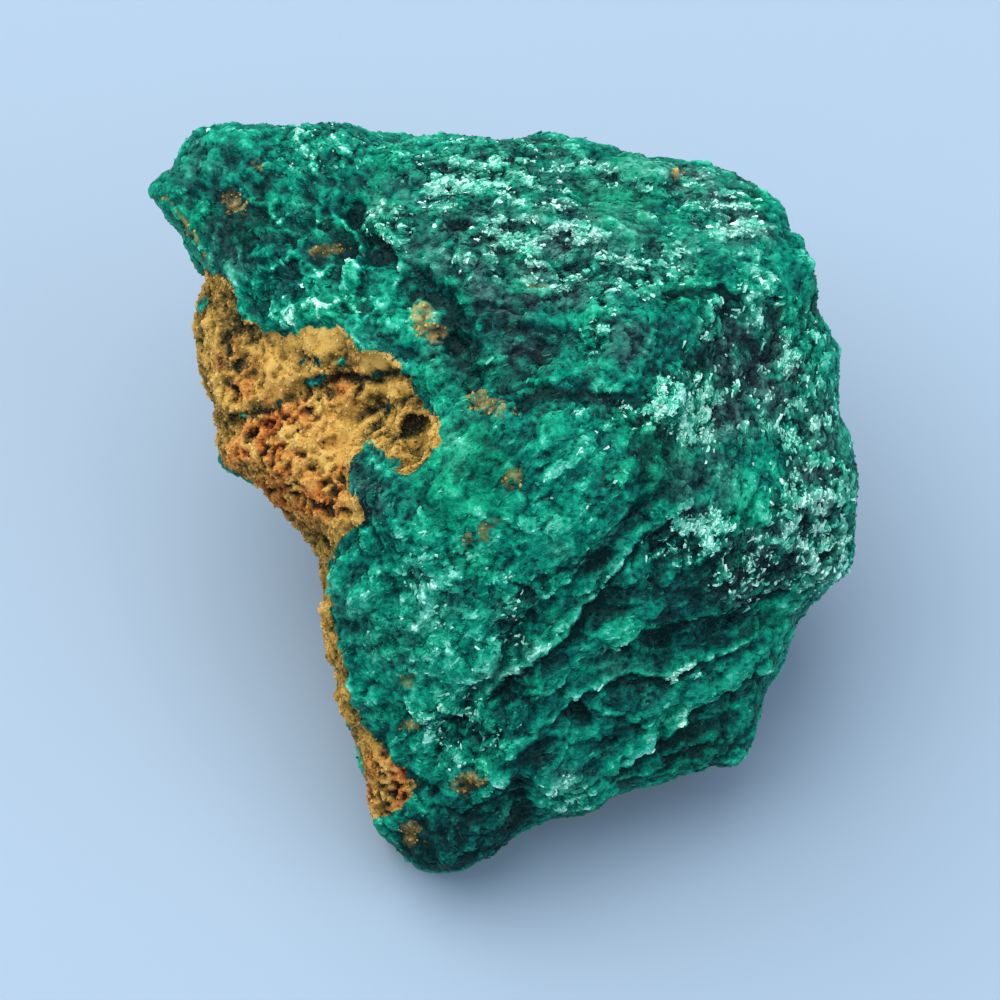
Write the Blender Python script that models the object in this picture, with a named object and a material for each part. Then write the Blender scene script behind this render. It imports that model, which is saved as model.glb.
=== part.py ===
"""A rough malachite specimen: one broken lump of fibrous green malachite on rusty limonite.

The lump is shaped in its face frame, whose u runs to the right, v up the show face and w
straight out of it, in millimetres. The show face then leans back until it looks up and
forward, and the underside is cut off flat where the lump rests. The origin is the centre of
the lump's footprint, on the ground, with +Z up.
"""

import math

import bmesh
import bpy
import numpy as np
from mathutils import Matrix, Vector, noise
from mathutils.kdtree import KDTree

MM = 0.001

# Driving dimensions. Lengths below are in millimetres, in the face frame.
NAME = "malachite_specimen"
FACE_LEAN = math.radians(62.0)  # the show face's normal above the ground
LUMP_CENTRE = Vector((-0.14, -0.33, 18.5))  # the face frame's origin above the ground
FRONT_DEPTH = 21.0  # from the silhouette's plane out to the show face
BACK_DEPTH = 22.0  # and back to the hidden side
FRONT_SQUARENESS = 2.6  # exponent of the dome: 2 is an ellipsoid, more is boxier
BACK_SQUARENESS = 2.3
SPHERE_LEVEL = 7  # subdivisions of the icosphere that is sculpted
SOLID_TRIANGLES = 9000

# The silhouette seen along the face normal, clockwise from the upper left corner
OUTLINE_CENTRE = (1.0, 1.0)
DENT_BLUR = 24.0  # degrees
OUTLINE = [
    (-30.0, 25.6), (-28.3, 28.0), (-25.3, 31.4), (-13.3, 31.4), (-7.3, 30.5), (5.6, 30.6),
    (13.8, 28.8), (18.3, 28.3), (23.4, 24.6), (25.8, 18.8), (27.0, 12.6), (27.5, 9.2),
    (29.4, 3.2), (29.9, -2.4), (29.4, -5.6), (25.8, -9.7), (23.4, -14.7), (21.3, -19.8),
    (19.9, -22.3), (15.2, -22.9), (11.4, -24.3), (7.4, -26.9), (2.2, -27.8), (-3.4, -31.1),
    (-7.1, -30.7), (-10.5, -28.1), (-12.3, -20.0), (-15.2, -11.1), (-15.2, -5.0),
    (-19.2, 0.3), (-23.6, 3.5), (-25.1, 10.6), (-25.9, 15.0), (-24.6, 18.1), (-26.7, 22.9),
]

# Broken faces that flatten the dome: (normal, distance from the outline's centre)
BREAK_SHARPNESS = 22.0
BREAKS = [
    ((0.08, 0.58, 0.81), 22.0),
    ((-0.42, 0.22, 0.88), 19.0),
    ((-0.30, -0.25, 0.92), 18.0),
    ((0.50, 0.12, 0.86), 22.0),
    ((0.42, -0.52, 0.74), 20.5),
    ((-0.55, -0.50, 0.67), 20.0),
    ((0.30, 0.60, -0.74), 23.0),
    ((-0.50, 0.30, -0.81), 22.5),
    ((0.60, -0.20, -0.77), 22.0),
    ((0.10, -0.55, -0.83), 24.0),
    ((0.75, 0.35, -0.55), 25.0),
    ((-0.10, 0.85, -0.50), 26.5),
    ((-0.80, -0.10, -0.60), 23.5),
]

# Where the green crust has come away and the rusty matrix shows, a little lower
RUST_DEPTH = 1.7
RUST_EDGE = 0.7
RUST_PATCH = [
    (-26.5, 18.4), (-23.9, 18.4), (-21.6, 15.2), (-17.0, 14.4), (-13.3, 14.2), (-10.1, 11.7),
    (-7.4, 10.3), (-4.9, 7.0), (-5.6, 3.6), (-9.2, 2.6), (-11.7, 1.4), (-11.7, -0.9),
    (-10.6, -3.7), (-13.3, -4.4), (-14.4, -9.2), (-12.2, -18.4), (-9.8, -22.5), (-8.0, -25.2),
    (-11.0, -27.0), (-18.0, -12.0), (-24.0, -2.0), (-29.0, 8.0),
]

# Ledges: (drop, how far it takes to fall, how far until it has risen again, path).
# The low side is on the right hand of someone walking the path.
LEDGES = [
    (1.7, 1.4, 7.5, [(-5.5, -18.5), (-1.0, -12.5), (3.4, -7.8), (7.6, -4.0), (11.0, 0.4), (13.5, 7.5)]),
    (1.6, 1.0, 6.0, [(1.0, -18.5), (7.4, -12.7), (14.7, -9.5), (25.0, -7.0)]),
    (1.6, 1.0, 6.0, [(1.5, -26.0), (7.4, -23.9), (10.9, -21.8), (14.2, -18.7), (22.7, -15.1)]),
    (1.3, 1.0, 6.0, [(-14.5, 24.5), (-10.9, 21.4), (-5.5, 16.7), (-1.5, 12.5)]),
    (0.8, 0.8, 3.5, [(-24.0, 7.1), (-16.4, 9.2), (-11.8, 10.6)]),
    (0.6, 0.7, 3.0, [(-16.5, 6.0), (-11.3, 8.0), (-8.0, 9.0)]),
]

# Swells and hollows: (centre, half width, half height, rise)
SWELLS = [
    ((-5.0, 1.5), 10.0, 9.0, 1.6),
    ((1.8, 12.6), 5.0, 3.6, -2.6),
    ((15.2, 8.0), 3.2, 2.6, 1.3),
    ((-10.3, 0.8), 2.0, 4.2, -1.2),
    ((10.5, 14.0), 3.2, 4.5, 0.9),
    ((20.0, -1.0), 5.0, 5.0, 0.8),
    ((12.5, -16.5), 4.5, 3.0, 0.9),
    ((19.3, 11.5), 4.0, 5.0, -0.9),
    ((26.0, 3.0), 3.5, 9.0, 0.9),
    ((-17.0, 23.0), 7.0, 6.0, 1.0),
    ((-23.5, 25.0), 2.5, 3.5, -1.0),
    ((4.5, -22.5), 3.0, 3.0, 1.2),
    ((17.5, -20.0), 4.5, 2.4, -1.6),
    ((-6.0, -12.0), 6.0, 7.0, 0.8),
    ((6.0, 24.0), 12.0, 4.5, 0.7),
]
PIT_CENTRE = (-7.2, 5.6)
PIT_RADIUS = 1.5
PIT_DEPTH = 2.2

# How far noise shifts the outlines of all these features, and over what length
RAGGED = 1.4
RAGGED_LENGTH = 3.6

# Fibre sprays: the lump is a mosaic of them, each broken off at its own tilt
SPRAY_SEED = 11
SPRAY_SPACING = 4.6
SPRAY_TILT = 0.17
SPRAY_STEP = 0.28
SPRAY_CROWN = 0.2
SPRAY_WARP = 1.7
SPRAY_BLEND = 0.45  # how gently one spray meets the next

# Rough waves of the whole surface: (wavelength, height), and how much rougher the back is
WAVES = [(15.0, 1.0), (7.0, 0.6), (3.2, 0.35)]
BACK_ROUGHNESS = 1.5


def smoothstep(low, high, x):
    t = np.clip((x - low) / (high - low), 0.0, 1.0)
    return t * t * (3.0 - 2.0 * t)


def outline_radius(angle, facing):
    """How far the silhouette lies from its centre; its dents are filled towards the two poles."""
    corners = np.array(OUTLINE) - OUTLINE_CENTRE
    steps = np.linspace(0.0, 1.0, 12, endpoint=False)[:, None]
    points = np.concatenate([a + (b - a) * steps for a, b in zip(corners, np.roll(corners, -1, axis=0))])
    around = np.radians(np.arange(-180.0, 180.0))
    angles = np.arctan2(points[:, 1], points[:, 0])
    reach = np.interp(around, angles, np.hypot(*points.T), period=2.0 * math.pi)
    spread = np.exp(-0.5 * (np.minimum(np.arange(360), 360 - np.arange(360)) / DENT_BLUR) ** 2)
    blurred = np.real(np.fft.ifft(np.fft.fft(reach) * np.fft.fft(spread / spread.sum())))
    share = smoothstep(0.4, 0.75, np.abs(facing))
    return np.interp(angle, around, reach, period=2.0 * math.pi) * (1.0 - share) + share * np.interp(
        angle, around, blurred, period=2.0 * math.pi
    )


def dome_radius(direction):
    """The plain form: a boxy dome in front of the silhouette and another behind it."""
    across = np.hypot(direction[:, 0], direction[:, 1])
    reach = outline_radius(np.arctan2(direction[:, 1], direction[:, 0]), direction[:, 2])
    front = direction[:, 2] > 0.0
    depth = np.where(front, FRONT_DEPTH, BACK_DEPTH)
    power = np.where(front, FRONT_SQUARENESS, BACK_SQUARENESS)
    return ((across / reach) ** power + (np.abs(direction[:, 2]) / depth) ** power) ** (-1.0 / power)


def broken_radius(direction):
    """The dome with its broken faces, which meet along slightly worn edges."""
    total = dome_radius(direction) ** -BREAK_SHARPNESS
    off_edge = 0.86 + 0.14 * smoothstep(0.0, 0.35, np.abs(direction[:, 2]))  # the outline is kept
    for normal, distance in BREAKS:
        facing = off_edge * (direction @ (np.array(normal) / np.linalg.norm(normal)))
        total += (np.maximum(facing, 0.0) / distance) ** BREAK_SHARPNESS
    return total ** (-1.0 / BREAK_SHARPNESS)


def path_distance(points, path):
    """How far each (u, v) is from a path, and how far to its right hand (left is negative)."""
    path = np.array(path)
    distance = np.full(len(points), np.inf)
    right = np.zeros(len(points))
    for number, (a, b) in enumerate(zip(path[:-1], path[1:])):
        run = b - a
        share = (points - a) @ run / (run @ run)
        away = np.hypot(*(points - a - np.clip(share, 0.0, 1.0)[:, None] * run).T)
        offset = (run[1] * (points[:, 0] - a[0]) - run[0] * (points[:, 1] - a[1])) / np.hypot(*run)
        beyond = ((share < 0.0) & (number == 0)) | ((share > 1.0) & (number == len(path) - 2))
        nearer = away < distance
        distance[nearer] = away[nearer]
        right[nearer] = np.where(beyond, offset, np.copysign(away, offset))[nearer]
    return distance, right


def inside_distance(points, corners):
    """Distance of each (u, v) from a closed outline, positive inside it."""
    ring = list(corners) + [corners[0]]
    inside = np.zeros(len(points), bool)
    for (x0, y0), (x1, y1) in zip(ring[:-1], ring[1:]):
        spans = (y0 > points[:, 1]) != (y1 > points[:, 1])
        rise = np.where(spans, y1 - y0, 1.0)
        inside ^= spans & (points[:, 0] < x0 + (points[:, 1] - y0) * (x1 - x0) / rise)
    distance = path_distance(points, ring)[0]
    return np.where(inside, distance, -distance)


def waves(points):
    """Broad roughness, from gradient noise of three sizes."""
    height = np.zeros(len(points))
    for length, rise in WAVES:
        height += rise * np.array([noise.noise(Vector(p / length)) for p in points])
    return height


def scatter(points, spacing, seed):
    """Some of the points, in random order, no two of them nearer than the spacing."""
    order = np.random.default_rng(seed).permutation(len(points))
    chosen = []
    free = np.ones(len(points), bool)
    for index in order:
        if free[index]:
            chosen.append(index)
            free &= np.linalg.norm(points - points[index], axis=1) > spacing
    return points[chosen]


def sprays(points):
    """The mosaic of fibre sprays: each cell is a crowned plate with its own tilt and level."""
    centres = scatter(points, SPRAY_SPACING, SPRAY_SEED)
    rng = np.random.default_rng(SPRAY_SEED + 1)
    tilts = rng.normal(0.0, SPRAY_TILT, (len(centres), 3))
    levels = rng.uniform(-SPRAY_STEP, SPRAY_STEP, len(centres))
    tree = KDTree(len(centres))
    for index, centre in enumerate(centres):
        tree.insert(centre, index)
    tree.balance()
    height = np.zeros(len(points))
    for row, point in enumerate(points):
        warped = Vector(point) + SPRAY_WARP * noise.noise_vector(Vector(point) / 3.0)
        total = 0.0
        near = tree.find_n(warped, 3)
        for _, index, distance in near:
            weight = math.exp((near[0][2] - distance) / SPRAY_BLEND)
            crown = SPRAY_CROWN * (1.0 - (distance / SPRAY_SPACING) ** 2)
            height[row] += weight * (levels[index] + tilts[index] @ (point - centres[index]) + crown)
            total += weight
        height[row] /= total
    return height


def landmarks(points):
    """The show face's own features: swells, hollows, ledges, the rusty patch and its pit."""
    ragged = [noise.noise_vector(Vector(p) / RAGGED_LENGTH) for p in points]
    face = points[:, :2] + RAGGED * np.array(ragged)[:, :2]
    height = np.zeros(len(points))
    for centre, width, tall, rise in SWELLS:
        away = np.hypot((face[:, 0] - centre[0]) / width, (face[:, 1] - centre[1]) / tall)
        height += rise * np.exp(-(away ** 2) * 1.4)
    for drop, fall, reach, path in LEDGES:
        away, right = path_distance(face, path)
        height -= drop * smoothstep(0.0, fall, right) * (1.0 - smoothstep(fall, reach, away))
    rust = smoothstep(0.0, RUST_EDGE, inside_distance(face, RUST_PATCH))
    height -= RUST_DEPTH * rust
    from_pit = np.hypot(face[:, 0] - PIT_CENTRE[0], face[:, 1] - PIT_CENTRE[1])
    height -= PIT_DEPTH * (1.0 - smoothstep(0.5 * PIT_RADIUS, 1.2 * PIT_RADIUS, from_pit))
    return height


def sculpt():
    """The lump as one closed mesh, before its underside is cut."""
    bm = bmesh.new()
    bmesh.ops.create_icosphere(bm, subdivisions=SPHERE_LEVEL, radius=1.0)
    direction = np.array([vert.co for vert in bm.verts])
    smooth = direction * broken_radius(direction)[:, None]
    smooth[:, :2] += OUTLINE_CENTRE
    front = smoothstep(0.0, 0.3, direction[:, 2])
    back = smoothstep(0.05, 0.5, -direction[:, 2])
    calm = 0.5 + 0.5 * front + (BACK_ROUGHNESS - 0.5) * back
    relief = calm * (waves(smooth) + sprays(smooth)) + front * landmarks(smooth)
    lean = Matrix.Rotation(math.radians(90.0) - FACE_LEAN, 3, "X")
    for vert, point in zip(bm.verts, smooth + direction * relief[:, None]):
        vert.co = (lean @ Vector(point) + LUMP_CENTRE) * MM
    mesh = bpy.data.meshes.new(NAME)
    bm.to_mesh(mesh)
    bm.free()
    return mesh


def collection(name):
    group = bpy.data.collections.new(name)
    bpy.context.scene.collection.children.link(group)
    return group


def ground_cutter(group):
    """A block under the ground plane that takes the underside off flat."""
    bm = bmesh.new()
    bmesh.ops.create_cube(bm, size=1.0)
    bmesh.ops.scale(bm, vec=Vector((120.0, 120.0, 30.0)) * MM, verts=bm.verts)
    bmesh.ops.translate(bm, vec=Vector((0.0, 0.0, -15.0)) * MM, verts=bm.verts)
    mesh = bpy.data.meshes.new("ground_cutter")
    bm.to_mesh(mesh)
    bm.free()
    cutter = bpy.data.objects.new("ground_cutter", mesh)
    cutter.hide_render = True
    cutter.display_type = "WIRE"
    group.objects.link(cutter)
    return cutter


def malachite():
    material = bpy.data.materials.new("malachite")
    material.use_nodes = True
    shader = material.node_tree.nodes["Principled BSDF"]
    shader.inputs["Base Color"].default_value = (0.010, 0.155, 0.112, 1.0)
    shader.inputs["Roughness"].default_value = 0.55
    shader.inputs["Metallic"].default_value = 0.0
    return material


def specimen():
    lump = bpy.data.objects.new(NAME, sculpt())
    lump.data.materials.append(malachite())
    collection("malachite").objects.link(lump)
    faceted = lump.modifiers.new("Faceted", "DECIMATE")
    faceted.ratio = SOLID_TRIANGLES / len(lump.data.polygons)
    rest = lump.modifiers.new("Flat underside", "BOOLEAN")
    rest.operation = "DIFFERENCE"
    rest.solver = "EXACT"
    rest.object = ground_cutter(collection("cutters"))


for old in list(bpy.data.objects):
    bpy.data.objects.remove(old)
specimen()
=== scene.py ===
import math

import bpy
import numpy as np
from mathutils import Matrix, Vector


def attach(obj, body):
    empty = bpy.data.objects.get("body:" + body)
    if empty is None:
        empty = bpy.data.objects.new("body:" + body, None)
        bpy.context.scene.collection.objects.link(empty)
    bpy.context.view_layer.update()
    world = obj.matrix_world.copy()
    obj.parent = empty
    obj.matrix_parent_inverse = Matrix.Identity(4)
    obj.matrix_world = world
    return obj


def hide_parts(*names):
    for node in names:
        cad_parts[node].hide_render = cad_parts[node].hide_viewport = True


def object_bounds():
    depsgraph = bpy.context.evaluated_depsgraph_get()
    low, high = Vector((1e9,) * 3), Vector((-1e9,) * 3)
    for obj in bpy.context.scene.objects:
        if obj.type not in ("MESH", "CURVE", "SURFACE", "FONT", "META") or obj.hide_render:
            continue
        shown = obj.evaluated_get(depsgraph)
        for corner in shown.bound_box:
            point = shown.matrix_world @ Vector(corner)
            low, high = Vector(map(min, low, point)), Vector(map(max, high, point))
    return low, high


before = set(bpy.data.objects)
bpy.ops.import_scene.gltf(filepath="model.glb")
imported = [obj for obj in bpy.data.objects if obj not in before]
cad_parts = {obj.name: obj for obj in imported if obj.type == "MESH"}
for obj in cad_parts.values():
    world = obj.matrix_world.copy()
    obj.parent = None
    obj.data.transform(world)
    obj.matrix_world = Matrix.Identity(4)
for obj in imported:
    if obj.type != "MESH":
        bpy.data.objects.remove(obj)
cad_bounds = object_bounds()

# Lengths are in millimetres, apart from those of finished meshes, lights and the camera, in metres

MM = 0.001
NODE = "malachite_specimen"
LOW, HIGH = (np.array(corner) / MM for corner in cad_bounds)
LUMP_CENTRE = np.array((-0.14, -0.33, 18.5))

# The face frame: u runs to the right, v up the show face, and w straight out of it
FACE_ANGLE = math.radians(62.0)  # between w and the floor
FACE_AXES = np.array(Matrix.Rotation(math.radians(90.0) - FACE_ANGLE, 3, "X"))
FACE_DEPTH = 21.0  # about how far the show face stands out of the lump's centre

# The lump's mesh
VOXEL = 0.31
WELD_DISTANCE = 0.01
SMOOTHINGS = 5
BODY_TRIANGLES = 192000
FLOOR_TOUCH = 0.02  # lower points lie on the floor
KEPT_HEIGHT = 0.35  # lower points are not smoothed, so that the underside's edge stays sharp
RELIEF_HEIGHT = 1.2  # the relief has its full height from here up
RELIEF_SINK = 0.05  # how far the relief is lowered into the solid
SKIN_MARGIN = 0.01  # the relief stays this far inside the CAD box
CRYSTAL_MARGIN = 2.0 * SKIN_MARGIN
NEAR_ROUNDS, WIDE_ROUNDS = 4, 30  # of evening, to find small and large hollows and ridges, for painted shade and painted highlight

# How large the details of the crust and the matrix are, and how many times longer than wide
SPRAY, CHIP, SLAB = 2.6, 1.15, 3.1
FOLD, STREAK, THREAD, FIBRE_STRETCH = 2.9, 1.1, 0.55, 3.0
FLECK, FLECK_STRETCH = 0.95, 4.4
STRIPE, STRIPE_STRETCH = 1.6, 2.2
PORE, HONEYCOMB = 1.5, 1.35

# How light things are before their details, from 0 to 1
CRUST_TONE, MATRIX_TONE, GOLD_TONE = 0.36, 0.39, 0.66
BEHIND = 0.35  # how thickly crystals and grains lie on the hidden side, as a share of the face's


def unit(vectors):
    return vectors / np.linalg.norm(vectors, axis=1)[:, None]


def dots(a, b):
    """The dot product of each row of a with the same row of b."""
    return np.einsum("ij,ij->i", a, b)


def smoothstep(low, high, x):
    t = np.clip((x - low) / (high - low), 0.0, 1.0)
    return t * t * (3.0 - 2.0 * t)


def mix(a, b, share):
    return a + (b - a) * share


# Noise, for many points at once. The points are divided by the noise's size, and every use of it has
# a seed of its own.

NOISE_CELLS = 256  # a power of two; the noise repeats after as many cells
OCTAVE_WEIGHT = 0.55
OCTAVE_SEEDS = 17
BEYOND = 9.0  # farther than any cell's middle, in cells

RNG = np.random.default_rng(23)
SHUFFLED = RNG.permutation(NOISE_CELLS)
GRADIENTS = unit(RNG.normal(size=(NOISE_CELLS, 3)))
DRAWS = RNG.random((NOISE_CELLS, 3))


def lattice(cell, seed):
    """A random number from 0 to 255 for each cell of space."""
    number = seed
    for axis in cell.astype(int).T:
        number = SHUFFLED[(number + axis) & (NOISE_CELLS - 1)]
    return number


def perlin(points, seed):
    """Gradient noise, about -0.7 to 0.7."""
    base = np.floor(points)
    local = points - base
    ease = local * local * local * (local * (local * 6.0 - 15.0) + 10.0)
    total = np.zeros(len(points))
    for corner in np.ndindex(2, 2, 2):
        corner = np.array(corner)
        gradient = GRADIENTS[lattice(base + corner, seed)]
        weight = np.prod(np.where(corner, ease, 1.0 - ease), axis=1)
        total += weight * dots(gradient, local - corner)
    return total


def fractal(points, seed, octaves=3):
    """Noise with finer and weaker noise on it."""
    return sum(perlin(points * 2.0 ** n, seed + OCTAVE_SEEDS * n) * OCTAVE_WEIGHT ** n
               for n in range(octaves))


def drawn(points, way, size, stretch, seed):
    """Noise drawn out one way."""
    pressed = points - (1.0 - 1.0 / stretch) * (points @ way)[:, None] * way
    return perlin(pressed / size, seed)


def wander(points, size, reach, seed):
    """A random shift of each point, which changes over the given size."""
    return reach * np.stack([perlin(points / size, seed + n) for n in range(3)], axis=1)


class Cells:
    """Random cells that fill space: how far each point is from its cell's middle and from the rim, in
    cell sizes, and three random numbers for its cell."""

    def __init__(self, points, size, seed):
        self.size = size
        points = points / size
        base = np.floor(points)
        first = np.full(len(points), BEYOND)
        second = np.full(len(points), BEYOND)
        self.number = np.zeros(len(points), int)
        middle = np.zeros_like(points)
        for offset in np.ndindex(3, 3, 3):
            cell = base + np.array(offset) - 1.0
            key = lattice(cell, seed)
            spot = cell + DRAWS[key]
            distance = np.linalg.norm(points - spot, axis=1)
            nearer = distance < first
            second = np.where(nearer, first, np.minimum(second, distance))
            first = np.where(nearer, distance, first)
            self.number[nearer] = key[nearer]
            middle[nearer] = spot[nearer]
        self.from_middle = first
        self.from_rim = second - first
        self.inside = points - middle
        self.draws = DRAWS[self.number]

    def slope(self):
        """Height of the cells' own slopes."""
        return dots(GRADIENTS[self.number], self.inside) * self.size

    def plates(self, level, slope, jump, crack, crack_width):
        """Height of plates that each tilt and stand their own way, with cracks between them."""
        cracks = 1.0 - smoothstep(0.0, crack_width, self.from_rim)
        return slope * self.slope() + jump * level - crack * cracks


# Reading and writing meshes

def positions(mesh):
    co = np.empty(len(mesh.vertices) * 3)
    mesh.vertices.foreach_get("co", co)
    return co.reshape(-1, 3)


def normals(mesh):
    return np.array([v.vector for v in mesh.vertex_normals])


def put_value(mesh, name, values):
    """A value from 0 to 1 for each point, for the materials to read."""
    layer = mesh.attributes.new(name, "FLOAT", "POINT")
    layer.data.foreach_set("value", np.clip(values, 0.0, 1.0).astype(np.float32))


def shown(name, data):
    """A new object in the scene, from a mesh, a lamp's data or a camera's."""
    obj = bpy.data.objects.new(name, data)
    bpy.context.scene.collection.objects.link(obj)
    return obj


def evaluated(obj):
    """A new mesh with the object's modifiers applied."""
    graph = bpy.context.evaluated_depsgraph_get()
    return bpy.data.meshes.new_from_object(obj.evaluated_get(graph))


class Relaxer:
    """Evens a mesh's points towards their neighbours."""

    def __init__(self, mesh):
        edges = np.empty(len(mesh.edges) * 2, int)
        mesh.edges.foreach_get("vertices", edges)
        self.ends = edges.reshape(-1, 2).T
        self.count = sum(np.bincount(end, minlength=len(mesh.vertices)) for end in self.ends)

    def around(self, column):
        """Each point's sum over its neighbours."""
        a, b = self.ends
        return np.bincount(a, column[b], len(column)) + np.bincount(b, column[a], len(column))

    def smooth(self, values, rounds, keep=None):
        for _ in range(rounds):
            total = np.stack([self.around(column) for column in values.T], axis=1)
            evened = 0.5 * values + 0.5 * total / self.count[:, None]
            values = evened if keep is None else np.where(keep[:, None], values, evened)
        return values

    def proud(self, points, normal, rounds):
        """How far each point stands out of its evened surroundings; hollows are negative."""
        return dots(points - self.smooth(points, rounds), normal)


# Shapes on the show face

# A spot or a path is whole within the first share of its radius or half width, and gone at the second
SPOT_CORE, SPOT_EDGE = 0.55, 1.35
PATH_CORE, PATH_EDGE = 0.1, 1.3
# A step's half width, how far it reaches behind its edge and before its foot, and the share of its
# length over which it rises at each end
STEP_SLOPE, STEP_BACK, STEP_FOOT, STEP_FADE = 0.25, 1.8, 1.3, 0.16
# The shares of a step's height above and below the surface, and its painted highlight along the edge and
# painted shade at the foot
EDGE_HEIGHT, FOOT_DEPTH, EDGE_LIGHT, FOOT_SHADE = 0.45, 0.55, 0.11, 0.26


def inside_distance(points, corners):
    """Distance of each (u, v) from a closed outline, positive inside it."""
    ring = np.array(list(corners) + [corners[0]])
    inside = np.zeros(len(points), bool)
    distance = np.full(len(points), np.inf)
    for a, b in zip(ring[:-1], ring[1:]):
        spans = (b[1] > points[:, 1]) != (a[1] > points[:, 1])
        rise = np.where(spans, b[1] - a[1], 1.0)
        inside ^= spans & (points[:, 0] < a[0] + (points[:, 1] - a[1]) * (b[0] - a[0]) / rise)
        share = np.clip((points - a) @ (b - a) / ((b - a) @ (b - a)), 0.0, 1.0)
        distance = np.minimum(distance, np.hypot(*(points - a - share[:, None] * (b - a)).T))
    return np.where(inside, distance, -distance)


def beside_path(points, path):
    """How far each (u, v) is from an open path, positive on its left, and its share of the way along."""
    path = np.array(path)
    length = np.hypot(*np.diff(path, axis=0).T)
    gone = np.concatenate([[0.0], np.cumsum(length)]) / length.sum()
    best, side, along = np.full(len(points), np.inf), np.ones(len(points)), np.zeros(len(points))
    for n, (a, b) in enumerate(zip(path[:-1], path[1:])):
        share = np.clip((points - a) @ (b - a) / length[n] ** 2, 0.0, 1.0)
        distance = np.hypot(*(points - a - share[:, None] * (b - a)).T)
        nearer = distance < best
        left = (b[0] - a[0]) * (points[:, 1] - a[1]) - (b[1] - a[1]) * (points[:, 0] - a[0])
        best = np.where(nearer, distance, best)
        side = np.where(nearer, np.where(left < 0.0, -1.0, 1.0), side)
        along = np.where(nearer, mix(gone[n], gone[n + 1], share), along)
    return best * side, along


def spot(face, centre, radii, turn=0.0):
    """1 in the middle of an ellipse on the face, falling to 0 outside it."""
    c, s = math.cos(math.radians(turn)), math.sin(math.radians(turn))
    du, dv = face[:, 0] - centre[0], face[:, 1] - centre[1]
    away = np.hypot((du * c + dv * s) / radii[0], (dv * c - du * s) / radii[1])
    return 1.0 - smoothstep(SPOT_CORE, SPOT_EDGE, away)


def patchwork(face, spots):
    """The strongest of several spots at each point."""
    return np.max([amount * spot(face, centre, radii, turn) for centre, radii, turn, amount in spots],
                  axis=0)


def beside(flat, paths):
    """1 on a path, 0 beyond its half width; and the same weighed by each path's depth."""
    near = [1.0 - smoothstep(PATH_CORE * width, PATH_EDGE * width, np.abs(beside_path(flat, path)[0]))
            for path, width, _ in paths]
    return np.max(near, axis=0), np.max([n * depth for n, (_, _, depth) in zip(near, paths)], axis=0)


def stepped(flat):
    """Height of the steps, and their painted highlight along the edges and painted shade at the feet."""
    height, light = np.zeros(len(flat)), np.zeros(len(flat))
    for path, rise in STEPS:
        away, along = beside_path(flat, path)
        fade = smoothstep(0.0, STEP_FADE, along) * smoothstep(1.0, 1.0 - STEP_FADE, along)
        above = np.exp(-np.maximum(away, 0.0) / STEP_BACK)
        below = np.exp(np.minimum(away, 0.0) / STEP_FOOT)
        share = smoothstep(-STEP_SLOPE, STEP_SLOPE, away)
        height += rise * fade * mix(-FOOT_DEPTH * below, EDGE_HEIGHT * above, share)
        light += rise * fade * mix(-FOOT_SHADE * below, EDGE_LIGHT * above ** 2.0, share)
    return height, light


# What lies where on the show face. Each spot is an ellipse's middle and half sizes, its turn in
# degrees, and a strength.

RUST_PATCH = [
    (-29.0, 18.0), (-25.2, 19.3), (-22.7, 18.3), (-21.7, 15.4), (-19.3, 13.8), (-17.9, 13.8), (-15.0, 14.2),
    (-13.3, 14.4), (-11.4, 12.3), (-9.2, 12.2), (-7.7, 10.6), (-7.0, 8.4), (-5.0, 6.8), (-4.7, 5.1),
    (-6.1, 3.1), (-8.0, 2.0), (-8.9, 3.4), (-10.9, 5.2), (-11.8, 3.6), (-12.7, 1.7), (-10.9, -1.8),
    (-13.5, -3.6), (-14.5, -5.8), (-13.9, -9.0), (-12.2, -17.5), (-9.3, -21.6), (-6.9, -24.2),
    (-8.6, -26.0), (-11.0, -27.0), (-18.0, -12.0), (-24.0, -2.0), (-29.0, 8.0),
]
RUST_SPOTS = [
    ((-22.2, 24.8), (1.9, 1.0), -45, 1.0), ((-14.4, 20.6), (1.8, 0.7), 0, 0.9),
    ((-6.0, 14.5), (2.6, 1.1), -55, 1.0), ((-1.0, 7.9), (2.6, 1.1), -22, 1.0),
    ((1.2, 1.9), (1.4, 1.0), 60, 0.9), ((-1.4, -2.6), (2.2, 1.0), 40, 1.0),
    ((-7.6, -15.0), (0.9, 0.9), 0, 0.8), ((-7.4, -18.9), (1.1, 0.7), 0, 0.9),
    ((-2.8, -23.6), (1.7, 1.1), 0, 1.0), ((-7.6, -28.1), (1.1, 1.4), 0, 1.2),
    ((15.0, 27.5), (0.9, 0.6), 0, 1.0), ((-20.3, 28.0), (0.8, 0.5), 0, 0.9),
    ((-26.4, 22.9), (4.6, 0.35), -60, 1.0), ((3.2, 17.6), (0.8, 0.5), 0, 0.8),
    ((-11.5, 28.0), (0.5, 0.5), 0, 0.8),
]
RED_SPOTS = [
    ((-18.6, 6.0), (6.8, 1.9), 33, 1.0), ((-16.6, 1.4), (4.4, 4.6), -30, 0.9),
    ((-13.4, 8.6), (2.0, 0.9), 0, 1.0), ((-22.4, 11.2), (1.6, 2.4), 0, 0.55),
    ((-9.2, -23.4), (2.6, 3.0), 0, 0.9), ((-20.6, 9.8), (2.6, 1.8), 0, 0.7),
    ((-15.0, 5.6), (2.4, 3.0), 0, 0.8), ((-18.6, 11.0), (1.8, 1.8), 0, 0.7),
]
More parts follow.
